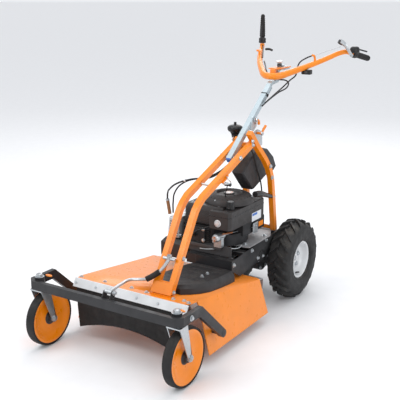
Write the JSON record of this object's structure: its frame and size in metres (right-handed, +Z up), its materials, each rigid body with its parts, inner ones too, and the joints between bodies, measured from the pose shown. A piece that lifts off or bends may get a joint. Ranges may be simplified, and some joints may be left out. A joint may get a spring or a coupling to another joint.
{
  "type": "walk-behind brush mower",
  "caption": "Walk-behind brush mower: flared cutter deck on a tilting caster frame, two driven wheels, vertical-shaft engine and swinging handlebar.",
  "frame": {"origin": "centre of the bounding box's footprint, on the ground", "axes": "+Z up; the machine drives toward -Y and the operator stands at +Y; +X is the machine's left side"},
  "size_m": [0.8154, 1.7185, 1.3335],
  "materials": {
    "paint": "orange powder coat",
    "black_metal": "black powder coat",
    "cast_housing": "dark cast housing",
    "engine_casting": "dark cast aluminium",
    "plastic": "grained black moulding",
    "rubber": "black rubber",
    "tyre": "black tyre rubber",
    "zinc": "zinc plated",
    "steel": "machined steel",
    "silver": "silver grey coat",
    "grey": "grey coat"
  },
  "bodies": {
    "machine": {"deck_pan": "paint", "deck_rear_plate": "zinc", "front_strip": "silver", "front_curtain": "rubber", "belt_cover": "plastic", "spindle_housing": "cast_housing", "drive_belt": "rubber", "chassis_frame": "black_metal", "chassis_top_plate": "grey", "gearbox": "cast_housing", "handle_frame": "paint", "cross_rod": "zinc", "lock_plate": "zinc", "rope_guide": "zinc", "tilt_bolt": "steel", "fuel_tank": "plastic", "fuel_hose": "rubber", "engine_base": "engine_casting", "engine_shroud": "plastic", "starter_cover": "plastic", "air_filter_cover": "plastic", "carburettor": "engine_casting", "muffler": "silver", "side_cover": "plastic"},
    "cutter": {"spindle": "steel", "blade": "steel"},
    "crank": {"crank_pulley": "steel"},
    "left_wheel": {"rim_left": "silver", "tyre_left": "tyre", "axle_left": "steel"},
    "right_wheel": {"rim_right": "silver", "tyre_right": "tyre", "axle_right": "steel"},
    "front_frame": {"front_frame": "black_metal"},
    "height_lever": {"height_lever": "zinc", "height_lever_grip": "rubber"},
    "left_fork": {"fork_left": "zinc"},
    "right_fork": {"fork_right": "zinc"},
    "left_caster": {"caster_disc_left": "paint", "caster_tyre_left": "rubber"},
    "right_caster": {"caster_disc_right": "paint", "caster_tyre_right": "rubber"},
    "column": {"column": "zinc", "cable_left": "rubber", "cable_right": "rubber"},
    "tilt_clamp_lever": {"tilt_clamp_lever": "paint"},
    "lock_lever": {"lock_lever": "paint"},
    "handlebar": {"handlebar": "paint", "control_left": "plastic", "control_right": "plastic", "grip_left": "rubber", "grip_right": "rubber", "switch_box": "plastic"},
    "swing_knob": {"swing_knob": "silver"},
    "clutch_lever_left": {"clutch_lever_left": "black_metal"},
    "clutch_lever_right": {"clutch_lever_right": "black_metal"},
    "hand_lever": {"hand_lever": "zinc"},
    "throttle_lever": {"throttle_lever": "plastic"},
    "tank_cap": {"tank_cap": "plastic"},
    "starter_handle": {"starter_handle": "plastic"}
  },
  "joints": [
    {"name": "cutter_spin", "type": "hinge", "parent": "machine", "child": "cutter", "pos_m": [0.052, -0.327, 0.092], "axis": [0, 0, 1], "continuous": true},
    {"name": "crank_spin", "type": "hinge", "parent": "machine", "child": "crank", "pos_m": [0.079, 0.003, 0.256], "axis": [0, 0, 1], "continuous": true},
    {"name": "left_wheel_spin", "type": "hinge", "parent": "machine", "child": "left_wheel", "pos_m": [0.266, 0.305, 0.193], "axis": [1, 0, 0], "continuous": true},
    {"name": "right_wheel_spin", "type": "hinge", "parent": "machine", "child": "right_wheel", "pos_m": [-0.054, 0.305, 0.193], "axis": [1, 0, 0], "continuous": true},
    {"name": "front_frame_tilt", "type": "hinge", "parent": "machine", "child": "front_frame", "pos_m": [-0.026, -0.501, 0.132], "axis": [1, 0, 0], "range_deg": [-3.5, 3.5]},
    {"name": "height_lever_swing", "type": "hinge", "parent": "front_frame", "child": "height_lever", "pos_m": [-0.003, -0.78, 0.33], "axis": [1, 0, 0], "range_deg": [-4, 4]},
    {"name": "left_fork_swivel", "type": "hinge", "parent": "front_frame", "child": "left_fork", "pos_m": [0.318, -0.782, 0.265], "axis": [0, 0, 1], "continuous": true},
    {"name": "right_fork_swivel", "type": "hinge", "parent": "front_frame", "child": "right_fork", "pos_m": [-0.37, -0.782, 0.265], "axis": [0, 0, 1], "continuous": true},
    {"name": "left_caster_spin", "type": "hinge", "parent": "left_fork", "child": "left_caster", "pos_m": [0.318, -0.738, 0.121], "axis": [1, 0, 0], "continuous": true},
    {"name": "right_caster_spin", "type": "hinge", "parent": "right_fork", "child": "right_caster", "pos_m": [-0.37, -0.738, 0.121], "axis": [1, 0, 0], "continuous": true},
    {"name": "column_tilt", "type": "hinge", "parent": "machine", "child": "column", "pos_m": [0.106, -0.033, 0.741], "axis": [1, 0, 0], "range_deg": [-6, 15]},
    {"name": "tilt_clamp_lever_turn", "type": "hinge", "parent": "column", "child": "tilt_clamp_lever", "pos_m": [0.131, 0.155, 0.884], "axis": [1, 0, 0], "range_deg": [0, 60]},
    {"name": "lock_lever_turn", "type": "hinge", "parent": "machine", "child": "lock_lever", "pos_m": [0.144, 0.169, 0.82], "axis": [1, 0, 0], "range_deg": [-50, 0]},
    {"name": "handlebar_swing", "type": "hinge", "parent": "column", "child": "handlebar", "pos_m": [0.106, 0.46, 1.096], "axis": [0, 0, 1], "range_deg": [-20, 20], "deforming": ["cable_left", "cable_right"]},
    {"name": "swing_knob_turn", "type": "hinge", "parent": "handlebar", "child": "swing_knob", "pos_m": [0.106, 0.425, 1.11], "axis": [0, 0, 1], "range_deg": [-90, 90]},
    {"name": "clutch_lever_left_pull", "type": "hinge", "parent": "handlebar", "child": "clutch_lever_left", "pos_m": [0.364, 0.7516, 1.1685], "axis": [0.9603, -0.2789, 0], "range_deg": [-5, 0], "stiffness_Nm_per_rad": 1.5, "springref_deg": 6.88},
    {"name": "clutch_lever_right_pull", "type": "hinge", "parent": "handlebar", "child": "clutch_lever_right", "pos_m": [-0.139, 0.686, 1.194], "axis": [1, 0, 0], "range_deg": [-6, 0], "stiffness_Nm_per_rad": 1.5, "springref_deg": 6.88},
    {"name": "hand_lever_turn", "type": "hinge", "parent": "handlebar", "child": "hand_lever", "pos_m": [0.366, 0.685, 1.15], "axis": [1, 0, 0], "range_deg": [-20, 20]},
    {"name": "throttle_lever_turn", "type": "hinge", "parent": "handlebar", "child": "throttle_lever", "pos_m": [-0.098, 0.669, 1.158], "axis": [0, 0, 1], "range_deg": [-25, 25]},
    {"name": "tank_cap_turn", "type": "hinge", "parent": "machine", "child": "tank_cap", "pos_m": [-0.004, 0.196, 0.82], "axis": [0, 0, 1], "continuous": true},
    {"name": "starter_handle_pull", "type": "slide", "parent": "machine", "child": "starter_handle", "axis": [0.5495, 0.7493, 0.3696], "range_m": [0, 0.5]}
  ],
  "couplings": [
    {"joint": "crank_spin", "follows": "cutter_spin", "ratio": 1.2105},
    {"joint": "height_lever_swing", "follows": "front_frame_tilt", "ratio": -1.1}
  ]
}
